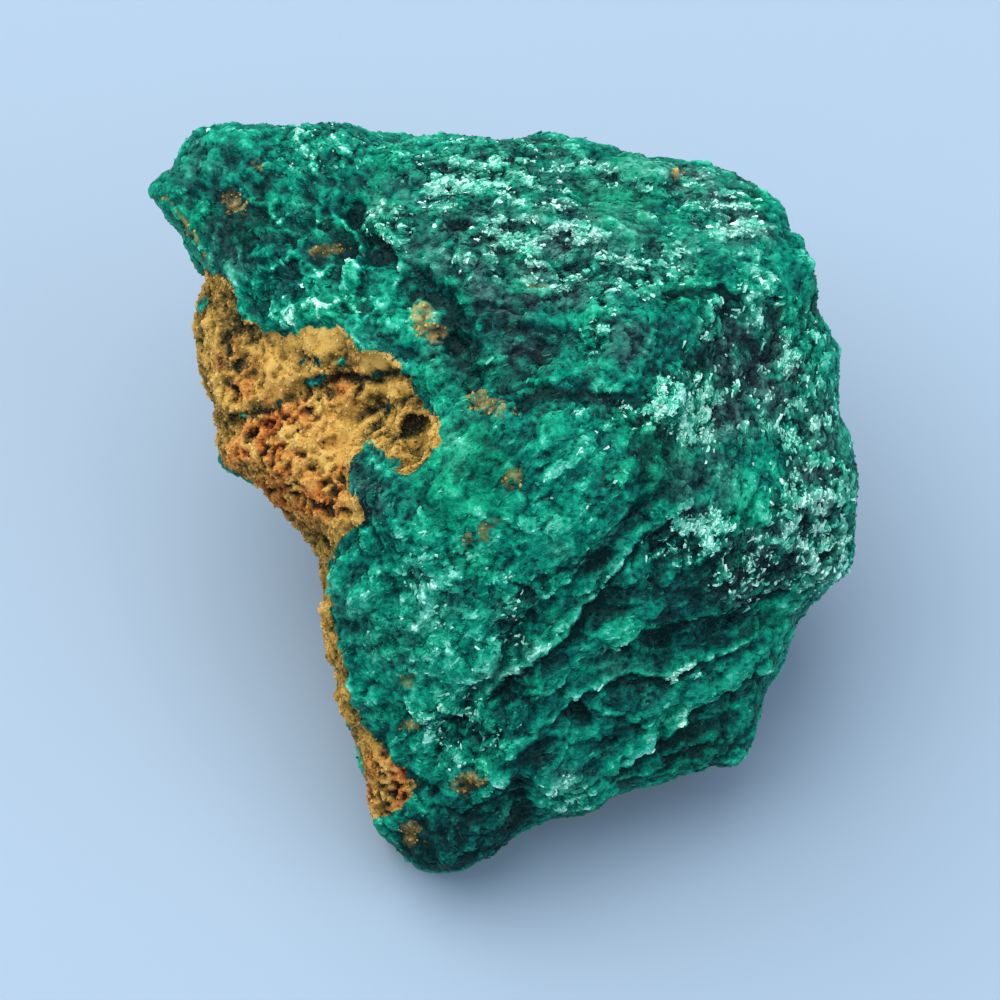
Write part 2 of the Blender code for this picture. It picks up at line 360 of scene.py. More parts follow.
GOLD_SPOTS = [
    ((-18.6, 10.6), (2.4, 2.8), 0, 1.0), ((-15.5, 13.3), (3.4, 1.3), 0, 1.2),
    ((-9.4, 11.2), (2.2, 1.4), 0, 1.2), ((-9.0, 9.2), (2.2, 0.7), 0, 0.9),
    ((-14.4, 5.2), (2.6, 3.8), -30, 1.0), ((-6.4, 6.0), (2.2, 2.0), 0, 0.5),
    ((-24.6, 12.0), (1.0, 4.0), 0, 0.6), ((-11.8, -0.8), (1.1, 1.8), 30, 0.6),
    ((-14.8, -8.5), (0.8, 4.0), 0, 0.35),
]
# Frosted with pale crystals
PALE_SPOTS = [
    ((6.0, 20.5), (10.5, 4.2), -4, 0.9), ((-4.7, 26.2), (2.2, 3.0), 0, 1.1),
    ((-9.0, 22.6), (2.4, 1.8), -30, 0.9), ((3.0, 27.0), (13.0, 3.0), -5, 0.85),
    ((-15.6, 29.0), (4.2, 2.4), 0, 0.7), ((11.0, 19.6), (2.0, 1.2), -20, 1.1),
    ((18.0, 24.2), (4.5, 3.0), -45, 0.8), ((15.0, 7.1), (2.8, 3.0), 0, 2.4),
    ((9.3, 7.0), (3.6, 1.6), 0, 0.7), ((24.6, 9.5), (3.2, 7.5), 0, 0.9),
    ((26.0, -1.5), (4.0, 7.0), 0, 0.95), ((21.5, 17.0), (2.2, 2.0), -40, 0.9),
    ((16.0, -3.0), (4.4, 2.0), 15, 1.1), ((17.6, 14.7), (0.8, 2.4), 0, 1.0),
    ((8.2, 14.1), (1.0, 2.6), -40, 1.0), ((15.3, -14.4), (2.4, 0.9), 10, 0.9),
    ((1.5, -9.6), (4.5, 5.0), 40, 0.42), ((5.9, -24.6), (2.2, 2.6), 0, 0.8),
    ((-3.5, -19.0), (4.5, 4.0), 0, 0.6), ((-16.5, 16.6), (4.0, 1.6), 0, 0.5),
    ((6.4, 1.5), (4.0, 3.6), 30, 0.3), ((21.0, -6.0), (4.5, 3.5), 30, 0.7),
    ((-5.0, -8.0), (6.0, 7.0), 0, 0.34), ((20.0, 9.0), (6.0, 8.0), 0, 0.35),
]
# Lighter and darker than the rest: partly the crust's own tone, partly painted shade in the hollow below the
# crest, under the bottom overhang and on the lower right faces turned from the light
TONE_AND_SHADE_SPOTS = [
    ((-3.2, 1.6), (4.2, 5.5), 20, 0.05), ((1.5, -3.0), (5.0, 5.0), 40, 0.08),
    ((-6.0, -12.0), (6.0, 11.0), 0, 0.09), ((9.5, 24.6), (3.6, 1.5), -35, 0.16),
    ((11.5, 28.0), (3.2, 1.2), -20, 0.14), ((-13.5, 17.0), (3.5, 2.5), 20, 0.06),
    ((0.0, 13.0), (4.6, 4.0), 0, -0.23), ((6.5, 9.0), (4.5, 1.8), 0, -0.14),
    ((18.0, 11.5), (5.0, 5.5), 0, -0.08), ((13.4, 3.0), (2.8, 3.8), 0, -0.08),
    ((16.0, -8.4), (8.0, 4.0), 15, -0.23), ((10.0, -9.9), (3.5, 1.6), 30, 0.10),
    ((9.6, -15.8), (6.0, 1.8), 5, -0.10), ((18.5, -20.0), (5.0, 2.4), 15, -0.16),
    ((2.0, -19.6), (3.4, 3.6), 40, -0.10), ((-10.4, 1.0), (1.9, 2.7), 0, -0.20),
    ((-10.6, 2.9), (0.9, 0.7), 0, 0.34), ((-18.0, 23.5), (8.0, 5.5), -30, -0.14),
    ((-3.0, -29.0), (7.0, 3.4), 0, -0.34), ((6.6, 2.6), (2.5, 2.0), 0, 0.05),
    ((15.8, -16.0), (2.4, 1.8), 30, 0.12), ((5.9, -24.6), (1.8, 2.2), 0, 0.08),
    ((15.2, 7.1), (2.0, 2.2), 0, 0.16), ((20.0, 9.0), (5.0, 7.0), 0, -0.05),
    ((26.0, 2.0), (3.5, 9.0), 0, -0.06), ((3.5, -25.0), (5.0, 4.0), 0, -0.05),
]
# Greyer than the rest
DULL_SPOTS = [
    ((20.5, 10.5), (4.6, 5.4), 0, 0.9), ((16.6, 2.0), (3.4, 4.0), 0, 0.5),
    ((0.4, 16.0), (2.8, 1.6), 0, 0.9), ((1.8, 12.4), (2.4, 2.0), 0, 0.9),
    ((5.6, 16.4), (2.4, 1.3), 0, 0.7), ((16.8, 26.2), (2.8, 1.8), -30, 0.9),
    ((26.6, 0.0), (3.0, 9.5), 0, 0.6), ((22.0, -5.5), (4.6, 3.0), 30, 0.7),
    ((10.6, 13.0), (2.0, 2.4), 0, 0.7), ((20.2, 22.6), (3.0, 1.8), -45, 0.6),
    ((-8.4, 24.4), (2.6, 2.0), 0, 0.5), ((-11.0, 0.4), (1.6, 2.2), 0, 0.6),
    ((-22.5, 20.5), (1.6, 3.0), 30, 0.5), ((-5.5, 13.0), (1.2, 2.0), 0, 0.6),
    ((1.0, -13.5), (3.0, 1.2), 40, 0.5), ((4.0, 21.0), (11.0, 4.5), -4, 0.6),
    ((-5.0, 26.0), (3.0, 2.6), 0, 0.4), ((7.0, 27.5), (13.0, 2.0), -5, 0.4),
]
# Smooth emerald patches, free of pale crystals
SMOOTH_SPOTS = [
    ((9.3, 24.0), (5.0, 1.9), -42, 1.0), ((11.5, 28.0), (3.0, 1.2), -20, 0.9),
    ((-3.0, 1.6), (4.4, 4.6), 20, 1.0), ((13.4, 3.0), (2.2, 3.4), 0, 0.9),
    ((2.2, 17.6), (1.6, 1.0), 0, 0.7), ((-14.5, 15.6), (2.6, 1.4), 15, 0.7),
]
# Where the crust is broken into slabs with pale rims, and where its folds are strongest
SLAB_SPOTS = [((-15.0, 19.5), (8.5, 6.5), -35, 1.0), ((-2.0, 15.0), (5.0, 6.0), 0, 0.4)]
FOLDED_SPOT = ((13.0, -13.0), (13.0, 10.0), 20)
PIT_CENTRE = (-7.2, 6.2)
PIT_RADII = (1.25, 1.0)
PIT_FLOOR, PIT_RIM = 0.6, 1.25  # in radii

# Paths across the show face, with their half width and depth
LEDGES = [
    ([(-22.7, 6.5), (-18.8, 8.0), (-16.9, 9.2), (-13.5, 10.1), (-11.6, 9.9), (-8.0, 10.2)], 0.6, 0.6),
    ([(-11.4, 7.2), (-7.4, 8.4)], 0.45, 0.4), ([(-17.6, 11.6), (-13.2, 11.5)], 0.8, 0.15),
]
CREVICES = [
    ([(-12.0, 23.8), (-10.6, 20.8), (-7.0, 18.3), (-4.6, 15.9), (-3.4, 13.0)], 1.4, 0.8),
    ([(8.4, -4.6), (4.0, -7.0), (2.0, -8.4), (0.6, -11.0)], 1.2, 0.5),
    ([(13.6, 6.0), (11.6, 2.8), (11.0, 0.0)], 1.2, 0.5),
    ([(2.0, -27.0), (1.5, -22.5), (3.5, -20.5)], 1.2, 0.6),
]
# Steps, high on the path's left, with their height
STEPS = [
    ([(-2.5, -18.0), (0.5, -14.5), (5.0, -11.9), (6.4, -9.7), (8.8, -6.8), (11.2, -3.6), (13.4, -1.7),
      (18.0, 0.2)], 1.1),
    ([(6.5, -14.0), (8.5, -12.4), (12.6, -10.4), (17.0, -9.8), (21.5, -8.0)], 0.7),
    ([(2.5, -20.0), (6.0, -16.6), (10.0, -14.4), (14.0, -14.6), (19.0, -12.6), (23.5, -10.8)], 0.9),
    ([(8.5, -23.2), (11.0, -22.0), (14.8, -19.7), (16.2, -17.6), (19.6, -15.8), (24.0, -13.8)], 1.1),
    ([(13.0, -21.6), (15.8, -21.0), (19.3, -20.4)], 0.6), ([(6.5, -17.0), (9.7, -17.9), (12.8, -19.6)], 0.4),
    ([(-9.5, -21.0), (-6.0, -18.0), (-2.0, -17.4)], 0.6), ([(-4.0, -27.0), (0.0, -24.0), (2.6, -23.6)], 0.7),
    ([(-3.0, 8.6), (2.0, 9.4), (7.0, 9.0), (12.5, 8.6)], 0.6),
    ([(12.0, 17.0), (18.0, 17.6), (22.0, 15.0)], 0.6), ([(-25.0, 26.5), (-20.0, 24.5), (-16.0, 20.5)], 0.5),
    ([(-6.0, 23.5), (2.0, 23.0), (9.0, 22.0)], 0.4),
]
# The way the crust is combed, in degrees on the face, and the ellipse combed that way
COMBED = [
    (0, (7.0, 22.0), (22.0, 8.0)), (-42, (-18.0, 22.0), (11.0, 10.0)), (38, (-2.0, -7.0), (12.0, 16.0)),
    (20, (15.0, -15.0), (14.0, 9.0)), (85, (22.0, 5.0), (7.0, 13.0)),
]
WAYS = [FACE_AXES @ (math.cos(math.radians(turn)), math.sin(math.radians(turn)), 0.0)
        for turn, _, _ in COMBED]
MATRIX_WAY = WAYS[2]
STEEP_WAY = 4  # the right flank's number in the list; the flecks there are dots, not streaks


# What the surface is made of at each point

class Place:
    """Where each point lies, and what makes the edges of the zones uneven: random shifts of the points
    and a broken edge."""

    def __init__(self, points):
        self.points = points
        self.face = (points - LUMP_CENTRE) @ FACE_AXES
        self.coarse = wander(points, size=3.6, reach=1.6, seed=1)
        self.fine = wander(points, size=1.1, reach=0.8, seed=4)
        self.front = smoothstep(-0.05, 0.2, self.face[:, 2] / FACE_DEPTH)
        self.rear = smoothstep(-2.0, -7.0, self.face[:, 2])
        self.broken = perlin(points / 0.8, 42) + 0.5 * perlin(points / 0.42, 43)

    def shifted(self, coarse, fine):
        """The points in the face frame, with a share of each shift."""
        return self.face + coarse * self.coarse + fine * self.fine


def matrix_zones(place):
    """Where the rusty matrix shows, and what it is like there."""
    points, front, rear, broken = place.points, place.front, place.rear, place.broken
    flat = place.shifted(0.3, 0.8)[:, :2]
    # The patch on the face, which goes a little way round the left side
    around = place.face[:, 2] + 4.0 + 9.0 * fractal(points / 8.0, 46) + 1.5 * broken
    patch = smoothstep(-0.3, 0.4, inside_distance(flat, RUST_PATCH) + 0.35 * broken)
    patch *= smoothstep(-0.6, 0.6, around)
    ledge, ledge_depth = beside(flat, LEDGES)
    olive = front * ledge * smoothstep(-0.05, 0.2, perlin(points / 1.3, 41))
    from_pit = np.hypot(*((place.face[:, :2] - PIT_CENTRE) / PIT_RADII).T)
    pit = front * (1.0 - smoothstep(PIT_FLOOR, PIT_RIM, from_pit))
    # Specks of it in the crust
    crumbled = 0.8 * broken + 0.5 * perlin(points / 0.35, 30)
    specks = smoothstep(0.3, 0.9, patchwork(place.shifted(0.0, 1.0), RUST_SPOTS) + crumbled) * front
    facing = np.maximum(patch, 0.6 * specks) * (1.0 - 0.8 * olive)
    # Patches behind, and all of the lowest part there
    patches = fractal(points / 9.0, 40) + 0.12 * broken
    hidden = rear * smoothstep(0.12, 0.28, patches + 0.06)
    under = rear * smoothstep(9.0, 0.0, points[:, 2] + 9.0 * patches)
    red = front * patchwork(place.shifted(0.5, 1.0), RED_SPOTS)
    red += rear * smoothstep(-0.1, 0.3, perlin(points / 5.0, 44))
    return {
        "rust": np.clip(np.maximum(facing, np.maximum(hidden, under)), 0.0, 1.0),
        "red": red,
        "gold": front * patchwork(place.shifted(0.3, 0.5), GOLD_SPOTS),
        "olive": olive,
        "pit": pit,
        "specks": specks * (1.0 - patch),
        "ledge": front * ledge_depth,
    }


def crust_zones(place):
    """What the green crust is like: how it is combed, stepped, frosted and toned, with painted shade along
    its crevices and at the feet of steps and painted highlight on the steps' edges.
    """
    points, front, rear = place.points, place.front, place.rear
    flat, uneven = place.shifted(0.3, 0.8)[:, :2], place.shifted(1.0, 1.0)
    crevice, depth = beside(flat, CREVICES)
    height, light = stepped(flat + 0.4 * place.coarse[:, 1:])
    flow = [0.06 + front * spot(uneven, centre, radii)
            + rear * smoothstep(0.05, 0.3, perlin(points / 8.0, 50 + n))
            for n, (_, centre, radii) in enumerate(COMBED)]
    behind = rear * smoothstep(0.0, 0.35, fractal(points / 7.0, 60)) * 0.9
    pale = np.maximum(front * patchwork(uneven, PALE_SPOTS), behind)
    smooth = front * patchwork(place.shifted(0.5, 1.0), SMOOTH_SPOTS)
    dull = front * patchwork(uneven, DULL_SPOTS)
    dull += 0.4 * smoothstep(0.1, 0.5, fractal(points / 6.0, 28, octaves=2))
    toned = place.shifted(0.6, 1.0)
    tone = CRUST_TONE + front * sum(amount * spot(toned, *ellipse) for *ellipse, amount in TONE_AND_SHADE_SPOTS)
    return {
        "flow": np.stack(flow, axis=1),
        "pale": pale * (1.0 - smooth),
        "smooth": smooth,
        "lush": 0.9 * smooth + 0.6 * smoothstep(0.05, 0.4, fractal(points / 4.5, 32, octaves=2)),
        "dull": dull * smoothstep(-0.45, 0.2, perlin(points / 1.4, 29)),
        # Painted highlight along step edges, painted shade at step feet and along the crevices
        "tone": tone + front * (light - 0.16 * crevice),
        "slabs": front * patchwork(uneven, SLAB_SPOTS),
        "carved": front * (height - depth),
    }


def along_flow(points, flow, size, stretch, seed):
    """Noise drawn out the way the crust is combed at each place."""
    share = flow ** 2 / (flow ** 2).sum(axis=1)[:, None]
    streaks = np.stack([drawn(points, way, size, stretch, seed + n) for n, way in enumerate(WAYS)], axis=1)
    return (share * streaks).sum(axis=1) / np.sqrt((share ** 2).sum(axis=1))


# The fine relief over the solid, with the details that the colours follow

def crust_relief(points, warped, zone):
    """Fibre sprays, folds, streaks and chips, rougher where the crust is frosted."""
    flow = zone["flow"]
    sprays, chips = Cells(warped, SPRAY, 11), Cells(warped, CHIP, 12)
    slabs = Cells(points + 1.3 * (warped - points), SLAB, 26)
    spray_level, chip_level = sprays.draws[:, 0] - 0.5, chips.draws[:, 1] - 0.5
    chipped = chips.plates(chip_level, slope=0.22, jump=0.14, crack=0.08, crack_width=0.2)
    folds = along_flow(warped, flow, FOLD, FIBRE_STRETCH, 70)
    streaks = along_flow(warped, flow, STREAK, FIBRE_STRETCH, 80)
    threads = along_flow(points, flow, THREAD, FIBRE_STRETCH, 90)
    folded = 0.35 + 0.65 * spot(zone["face"], *FOLDED_SPOT)
    crust = sprays.plates(spray_level, slope=0.10, jump=0.16, crack=0.14, crack_width=0.14)
    crust += folded * (1.3 * np.minimum(np.abs(folds), 0.4) - 0.25)
    crust = crust + 0.32 * streaks + 0.16 * threads
    crust += 0.6 * chipped + 0.3 * fractal(points / 3.4, 15, octaves=2)
    druse = 0.30 * (0.5 - chips.from_middle) + chipped + 0.22 * fractal(points / 0.9, 16, octaves=2)
    height = mix(crust, 0.6 * crust + druse, np.minimum(zone["pale"], 1.0)) * (1.0 - 0.4 * zone["smooth"])
    rim = np.exp(-((slabs.from_rim - 0.02) / 0.06) ** 2)
    height += zone["slabs"] * (0.17 * slabs.slope() + 0.17 * rim - 0.1) + zone["carved"]
    return height, {
        "rim": rim * zone["slabs"] * smoothstep(-0.2, 0.2, perlin(points / 2.0, 27)),
        "facets": (slabs.draws[:, 0] - 0.5) * zone["slabs"],
        "level": spray_level + 0.7 * chip_level,
        "folds": folds,
        "threads": threads,
    }


def matrix_relief(points, warped, zone):
    """Crumbly rust with pores, stripes and, where it is red, honeycomb walls."""
    pores = Cells(points + 0.6 * (warped - points), PORE, 17)
    pore_radius = 0.12 + 0.5 * pores.draws[:, 2] ** 2
    holes = 1.0 - smoothstep(0.3, 1.0, pores.from_middle / pore_radius + 1.1 * perlin(points / 0.7, 20))
    bent = warped + 0.5 * perlin(points / 0.8, 47)[:, None]
    wrinkles = np.abs(drawn(bent, MATRIX_WAY, STRIPE, STRIPE_STRETCH, 45))
    striped = (2.4 * np.minimum(wrinkles, 0.25) - 0.35) * smoothstep(-0.35, 0.3, perlin(points / 4.0, 48))
    comb = Cells(points + 1.6 * (warped - points) + 0.4 * striped[:, None], HONEYCOMB, 31)
    walls = (1.0 - smoothstep(0.05, 0.42, comb.from_rim) - 0.45) * np.minimum(zone["red"], 1.0)
    height = 0.85 * fractal(points / 2.8, 18) - 0.6 * np.abs(perlin(points / 0.9, 19)) + 0.8 * striped
    height = height * (1.0 - 0.45 * zone["gold"]) + 0.42 * walls
    height -= 0.12 + (0.30 + 0.30 * zone["red"]) * holes + 1.1 * zone["ledge"] + 0.55 * zone["pit"]
    return height, {"holes": holes, "striped": striped, "walls": walls}


def crust_colours(points, zone, detail, near, wide):
    """How light the crust is, with painted shade in its hollows and fold grooves and painted highlight on its
    ridges and fold crests, and where it is flecked with pale crystals.
    """
    pale = np.minimum(zone["pale"], 1.2)
    streak = along_flow(points, zone["flow"], FLECK, FLECK_STRETCH, 100)
    streak = mix(streak, perlin(points / 1.1, 63), smoothstep(0.2, 0.7, zone["flow"][:, STEEP_WAY]))
    drift = 0.45 * fractal(points / 2.3, 61, octaves=2)
    scatter = 0.3 * perlin(points / 0.6, 62)
    flecks = smoothstep(0.0, 0.24, 1.6 * streak + drift + scatter + 0.2 * (pale - 0.85)) * pale
    # Lighter where the relief stands out and darker where it sinks: painted highlight on ridges and fold
    # crests, painted shade in hollows and fold grooves
    tone = zone["tone"] + 0.9 * near + 0.45 * wide + 0.08 * detail["level"] + 0.22 * detail["threads"]
    tone += 0.4 * (np.minimum(np.abs(detail["folds"]), 0.3) - 0.14) + 0.20 * fractal(points / 4.5, 21)
    tone += 0.16 * fractal(points / 1.6, 24, octaves=2) + 0.42 * flecks - 0.08 * pale - 0.32 * zone["olive"]
    tone += 0.30 * detail["rim"] + 0.20 * detail["facets"]
    return tone, flecks


def matrix_colours(points, zone, detail, near, wide):
    """How light the matrix is, with painted shade in its holes, its pit and along the ledges, painted
    highlight on its raised walls and stripes, and darker patches behind.
    """
    striped = detail["striped"]
    # Lighter where the relief stands out and darker where it sinks, in the pit, the holes and along the
    # ledges: painted highlight and painted shade
    ochre = MATRIX_TONE + 0.34 * fractal(points / 2.6, 23) + near + 0.45 * wide + 0.35 * striped
    ochre += 0.3 * zone["gold"] - 0.42 * zone["pit"] - 0.35 * detail["holes"] * (0.4 + zone["red"])
    ochre = mix(ochre + 0.36 * detail["walls"], GOLD_TONE, 0.3 * np.minimum(zone["gold"], 1.0))
    ochre = ochre - 0.4 * zone["ledge"]
    ochre -= 0.3 * zone["olive"] + 0.04 * zone["specks"] + 0.08 * zone["red"]
    dark = 0.04 + 0.24 * smoothstep(0.0, 0.35, fractal(points / 6.0, 33))
    ochre -= (1.0 - zone["front"]) * dark
    mottled = fractal(points / 1.8, 25, octaves=2) + 0.5 * striped
    red = zone["red"] * smoothstep(-0.45, 0.25, mottled) * (1.0 - 0.6 * zone["gold"])
    return ochre, red


# The lump's body

def remeshed(node):
    """A finer copy of the solid, in even quads and without its material."""
    copy = node.copy()
    copy.data = node.data.copy()
    bpy.context.scene.collection.objects.link(copy)
    weld = copy.modifiers.new("weld", "WELD")
    weld.merge_threshold = WELD_DISTANCE * MM
    remesh = copy.modifiers.new("remesh", "REMESH")
    remesh.mode = "VOXEL"
    remesh.voxel_size = VOXEL * MM
    mesh = evaluated(copy)
    bpy.data.objects.remove(copy)
    mesh.materials.clear()
    return mesh


def lump_body():
    """The crust and the matrix: the solid's form, its facets smoothed, with the fine relief on it."""
    mesh = remeshed(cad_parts[NODE])
    relaxer = Relaxer(mesh)
    points = positions(mesh) / MM
    on_floor = points[:, 2] < FLOOR_TOUCH
    points = relaxer.smooth(points, SMOOTHINGS, keep=points[:, 2] < KEPT_HEIGHT)
    mesh.vertices.foreach_set("co", (points * MM).ravel())

    place = Place(points)
    zone = {"face": place.face, "front": place.front, **matrix_zones(place), **crust_zones(place)}
    warped = points + wander(points, size=1.3, reach=0.5, seed=7)
    crust, crust_detail = crust_relief(points, warped, zone)
    matrix, matrix_detail = matrix_relief(points, warped, zone)
    height = (mix(crust, matrix, zone["rust"]) - RELIEF_SINK) * smoothstep(0.0, RELIEF_HEIGHT, points[:, 2])
    points = points + normals(mesh) * height[:, None]
    points = np.clip(points, LOW + SKIN_MARGIN, HIGH - SKIN_MARGIN)
    points[on_floor, 2] = 0.0
    mesh.vertices.foreach_set("co", (points * MM).ravel())
    mesh.update()

    normal = normals(mesh)
    # How far each point stands out: hollows get painted shade and ridges painted highlight
    near, wide = (relaxer.proud(points, normal, rounds) for rounds in (NEAR_ROUNDS, WIDE_ROUNDS))
    tone, flecks = crust_colours(points, zone, crust_detail, near, wide)
    ochre, red = matrix_colours(points, zone, matrix_detail, near, wide)
    # The tone and ochre values carry painted shade in hollows and painted highlight on raised relief, for the
    # body, the crystals and the grains
    zone.update(shade=tone, ochre=ochre, flecks=flecks, red=red)
    for name, value in (("tone", tone), ("ochre", ochre), ("cover", 1.0 - 0.45 * zone["specks"])):
        put_value(mesh, name, value)
    for name in ("rust", "red", "dull", "lush"):
        put_value(mesh, name, zone[name])
    mesh.polygons.foreach_set("use_smooth", np.ones(len(mesh.polygons), bool))
    return shown("malachite_body", mesh), zone


def thinned(body):
    """Fewer triangles, taken where the surface is flattest."""
    decimate = body.modifiers.new("thin", "DECIMATE")
    decimate.ratio = BODY_TRIANGLES / (2 * len(body.data.polygons))  # each quad is two triangles
    mesh = evaluated(body)
    mesh.vertices.foreach_set("co", np.clip(positions(mesh), *cad_bounds).ravel())
    body.modifiers.clear()
    body.data = mesh


# Crystals and grains, each a small closed solid joined into one mesh with its neighbours

# A roof-shaped crystal: a rectangle under a shorter ridge
WEDGE = (
    [(-0.5, -0.4, -0.5), (0.5, -0.4, -0.5), (0.5, -0.4, 0.5), (-0.5, -0.4, 0.5),
     (0, 0.6, -0.3), (0, 0.6, 0.3)],
    [(0, 1, 2), (0, 2, 3), (1, 4, 5), (1, 5, 2), (0, 5, 4), (0, 3, 5), (0, 4, 1), (3, 2, 5)],
)
OCTAHEDRON = (
    [(1, 0, 0), (0, 1, 0), (-1, 0, 0), (0, -1, 0), (0, 0, 1), (0, 0, -1)],
    [(0, 1, 4), (1, 2, 4), (2, 3, 4), (3, 0, 4), (1, 0, 5), (2, 1, 5), (3, 2, 5), (0, 3, 5)],
)
# How much longer than wide the crystals are, how wide, and how many degrees they lift out of the crust,
# each from and to; and how far they stray from the way that the crust is combed
VELVET = {
    "count": 24000, "seed": 1, "stray": 0.35,
    "length": (0.1, 0.8), "width": (0.10, 0.20), "lift": (-5, 16),
}
DRUSE = {
    "count": 24000, "seed": 2, "stray": 0.45,
    "length": (0.1, 0.9), "width": (0.13, 0.32), "lift": (0, 30),
}
GRAINS = {"count": 23000, "seed": 3}
LOWEST_CRYSTAL = 0.6  # mm above the floor


class Surface:
    """The body's triangles, for scattering small things over them."""

    def __init__(self, mesh):
        mesh.calc_loop_triangles()
        self.points = positions(mesh) / MM
        self.normal = normals(mesh)
        corners = np.empty(len(mesh.loop_triangles) * 3, int)
        mesh.loop_triangles.foreach_get("vertices", corners)
        self.corners = corners.reshape(-1, 3)
        a, b, c = (self.points[self.corners[:, n]] for n in range(3))
        self.area = np.linalg.norm(np.cross(b - a, c - a), axis=1) / 2.0

    def scatter(self, count, density, rng):
        """Random places: their points, normals, and a function that reads a vertex value there."""
        standing = self.points[self.corners[:, 0], 2] > LOWEST_CRYSTAL
        total = np.cumsum(self.area * density[self.corners].mean(axis=1) * standing)
        chosen = self.corners[np.searchsorted(total, rng.random(count) * total[-1])]
        share = rng.dirichlet((1.0, 1.0, 1.0), count)

        def read(values):
            return np.einsum("ij,ij...->i...", share, values[chosen])

        return read(self.points), unit(read(self.normal)), read


def planted(name, shape, points, axes, up, sizes, **values):
    """Copies of a small shape at the points, along the axes, as one mesh with a tone for each."""
    shape_points, shape_faces = np.array(shape[0], float), np.array(shape[1])
    side = unit(np.cross(up, axes))
    basis = [side * sizes[:, :1], np.cross(axes, side) * sizes[:, 1:2], axes * sizes[:, 2:]]
    places = points[:, None, :] + np.einsum("vk,nkj->nvj", shape_points, np.stack(basis, axis=1))
    fits = ((places > LOW + CRYSTAL_MARGIN) & (places < HIGH - CRYSTAL_MARGIN)).all(axis=(1, 2))
    places = places[fits]
    count, corners = places.shape[:2]
    faces = (shape_faces[None] + corners * np.arange(count)[:, None, None]).reshape(-1, 3)
    mesh = bpy.data.meshes.new(name)
    mesh.vertices.add(count * corners)
    mesh.vertices.foreach_set("co", (places * MM).ravel())
    mesh.loops.add(len(faces) * 3)
    mesh.loops.foreach_set("vertex_index", faces.ravel())
    mesh.polygons.add(len(faces))
    mesh.polygons.foreach_set("loop_start", np.arange(0, len(faces) * 3, 3))
    mesh.polygons.foreach_set("use_smooth", np.zeros(len(faces), bool))
    mesh.update(calc_edges=True)
    mesh.validate()
    for key, value in values.items():
        put_value(mesh, key, np.repeat(value[fits], corners))
    return shown(name, mesh)


def prisms(name, surface, zone, density, tone_of, count, length, width, lift, stray, seed):
    """Small crystals that lie on the crust the way it is combed, or lean out of it."""
    rng = np.random.default_rng(seed)
    points, normal, read = surface.scatter(count, density, rng)
    flow = read(zone["flow"]) ** 2
    pick = (rng.random(count)[:, None] > np.cumsum(flow, axis=1) / flow.sum(axis=1)[:, None]).sum(axis=1)
    way = np.array(WAYS)[pick] + rng.normal(0.0, stray, points.shape)
    way = unit(way - dots(way, normal)[:, None] * normal)
    angle = np.radians(rng.uniform(*lift, count))[:, None]
    axes = np.cos(angle) * way + np.sin(angle) * normal
    thick = rng.uniform(*width, count)
    long = thick + rng.uniform(*length, count) * rng.random(count) ** 1.5
    sizes = np.stack([thick, thick * rng.uniform(0.5, 1.0, count), long], axis=1)
    up = normal + rng.normal(0.0, stray, normal.shape)
    values = {"tone": tone_of(read, rng, count), "dull": read(zone["dull"]), "lush": read(zone["lush"])}
    return planted(name, WEDGE, points, axes, up, sizes, **values)


def crystals(surface, zone):
    """The crust's velvet, with each crystal as light as the crust under it, painted shade and highlight
    included, and its druse, bright in the flecks.
    """
    green = (1.0 - smoothstep(0.2, 0.6, zone["rust"])) * mix(BEHIND, 1.0, zone["front"])
    frosted = green * (0.05 + zone["pale"] * (0.4 + 0.6 * zone["flecks"]))

    def crust_tone(read, rng, count):
        return read(zone["shade"]) + rng.normal(0.02, 0.07, count)

    def glint(read, rng, count):
        bright = rng.random(count) < 0.85 * read(zone["flecks"]) + 0.05 * read(zone["pale"])
        glints = rng.uniform(0.66, 1.0, count)
        return np.where(bright, glints, read(zone["shade"]) + rng.normal(0.0, 0.10, count))

    return (prisms("malachite_velvet", surface, zone, green, crust_tone, **VELVET),
            prisms("malachite_druse", surface, zone, frosted, glint, **DRUSE))


def rust_grains(surface, zone, count, seed):
    """Loose grains on the matrix, fewer on its smooth gold parts and on the specks."""
    rng = np.random.default_rng(seed)
    crumbly = mix(BEHIND, 1.0, zone["front"]) * smoothstep(0.3, 0.65, zone["rust"])
    crumbly = crumbly * (1.0 - 0.5 * zone["gold"]) * (1.0 - 0.7 * zone["specks"])
    points, _, read = surface.scatter(count, crumbly, rng)
    sizes = (0.05 + 0.17 * rng.random((count, 1)) ** 2) * rng.uniform(0.7, 1.3, points.shape)
    axes, up = unit(rng.normal(size=points.shape)), rng.normal(size=points.shape)
    # Each grain takes the matrix's lightness under it, with its painted shade and highlight
    tone = read(zone["ochre"] + 0.16 * zone["specks"]) + rng.normal(0.0, 0.13, count)
    return planted("limonite_grains", OCTAHEDRON, points, axes, up, sizes, tone=tone, red=read(zone["red"]))


# Materials, with colours as 8-bit screen values and noise scales in cells to a metre

